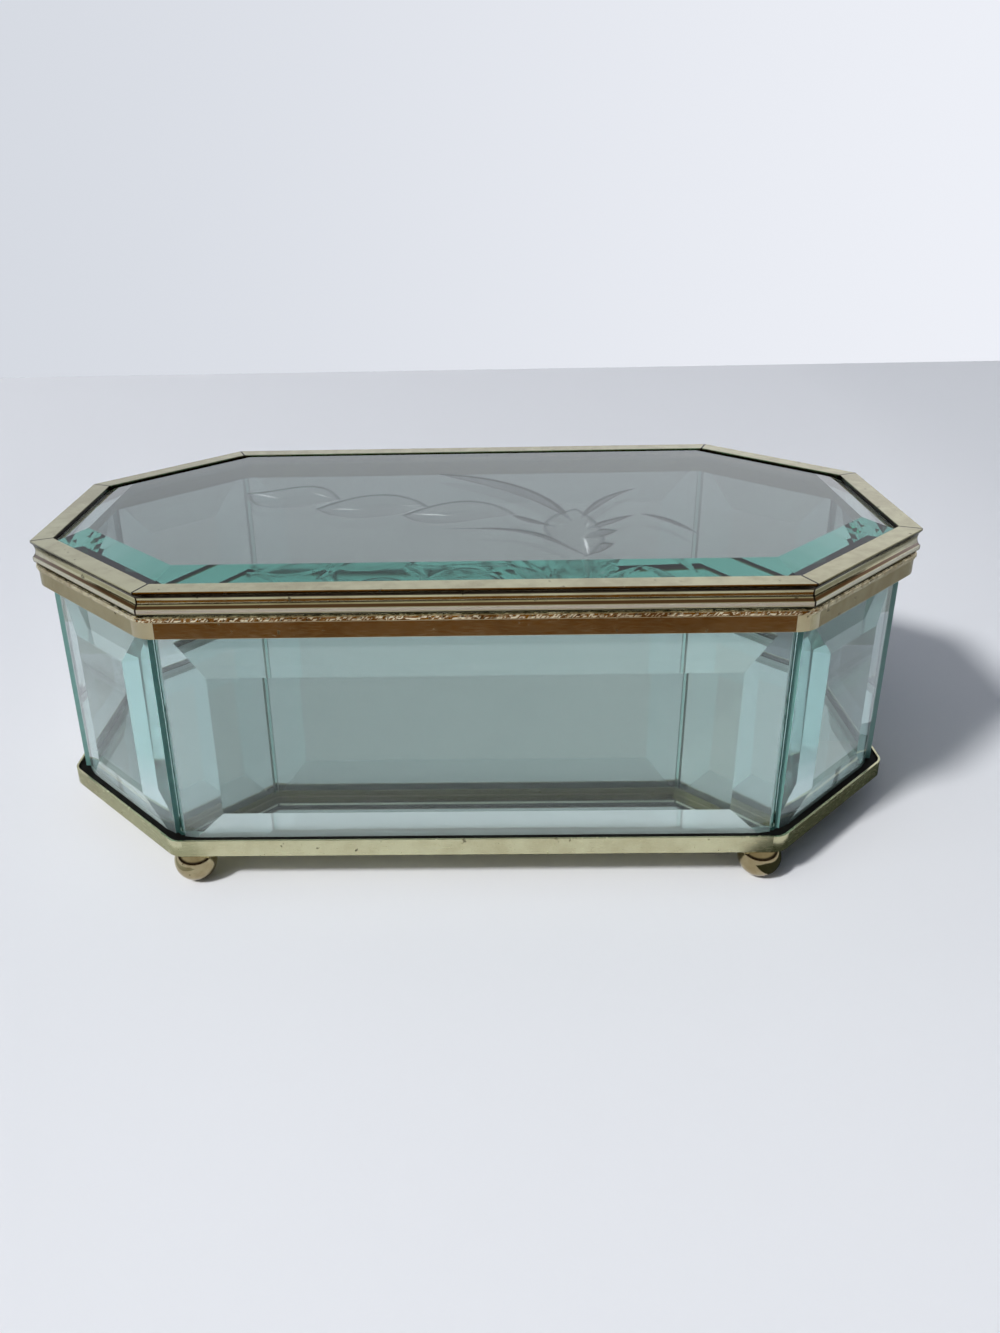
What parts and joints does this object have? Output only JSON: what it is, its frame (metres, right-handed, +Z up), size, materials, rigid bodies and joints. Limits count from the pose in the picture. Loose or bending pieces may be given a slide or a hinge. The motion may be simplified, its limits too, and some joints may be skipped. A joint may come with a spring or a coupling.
{
  "type": "glass casket box",
  "caption": "Octagonal casket for keepsakes: bevelled glass walls in a brass tray and rim, a mirror floor, ball feet and a hinged lid of thick engraved glass.",
  "frame": {"origin": "On the table, under the middle of the closed box's bounding box; that is 2.08 mm behind the middle of the glass box, because the hinge tails reach further back than the front feet reach forward.", "axes": "+X runs along the length to the viewer's right, +Y to the back where the hinges are, +Z up; the front faces -Y."},
  "size_m": [0.2, 0.1166, 0.0726],
  "materials": {
    "brass": "polished, aged to a pale khaki gold with fine wear",
    "wall_glass": "clear, polished, faint green",
    "lid_glass": "clear, polished, faint green, wheel-engraved on top",
    "mirror": "back-silvered glass",
    "putty": "matt black glazing putty",
    "glue": "clear glue"
  },
  "bodies": {
    "base": {"base_tray": "brass", "mirror_floor": "mirror", "base_putty": "putty", "foot_front_left": "brass", "foot_front_right": "brass", "foot_back_left": "brass", "foot_back_right": "brass", "pane_front": "wall_glass", "pane_back": "wall_glass", "pane_left": "wall_glass", "pane_right": "wall_glass", "pane_front_left": "wall_glass", "pane_front_right": "wall_glass", "pane_back_left": "wall_glass", "pane_back_right": "wall_glass", "corner_glue": "glue", "rim": "brass", "rim_putty": "putty", "hinge_base_leaf_left": "brass", "hinge_base_leaf_right": "brass", "hinge_pin_left": "brass", "hinge_pin_right": "brass"},
    "lid": {"hinge_lid_leaf_left": "brass", "hinge_lid_leaf_right": "brass", "lid_rail_front": "brass", "lid_rail_back": "brass", "lid_rail_left": "brass", "lid_rail_right": "brass", "lid_rail_front_left": "brass", "lid_rail_front_right": "brass", "lid_rail_back_left": "brass", "lid_rail_back_right": "brass", "lid_putty": "putty", "lid_glass": "lid_glass"}
  },
  "joints": [
    {"name": "lid_hinge", "type": "hinge", "parent": "base", "child": "lid", "pos_m": [0, 0.05502, 0.06573], "axis": [-1, 0, 0], "range_deg": [0, 100]}
  ]
}
